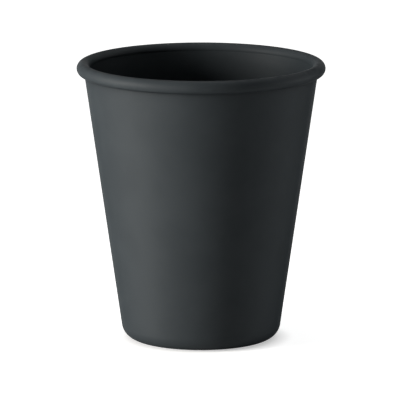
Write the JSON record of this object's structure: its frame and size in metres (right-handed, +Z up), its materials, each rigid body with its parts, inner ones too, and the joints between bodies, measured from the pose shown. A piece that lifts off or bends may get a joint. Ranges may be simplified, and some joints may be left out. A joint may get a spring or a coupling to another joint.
{
  "type": "reusable cup",
  "caption": "Open drinking cup moulded in one piece, with a straight tapered wall, a full round bead at the rim, a rounded heel and a recessed underside.",
  "frame": {"origin": "centre of the standing ring, on the plane that the cup stands on", "axes": "+Z up along the cup's axis, from the base to the rim; the section is the same all round, so +X and +Y are any two directions square to it"},
  "size_m": [0.09, 0.09, 0.1015],
  "materials": {
    "cup_plastic": "matte"
  },
  "bodies": {
    "root": {"cup": "cup_plastic"}
  },
  "joints": []
}
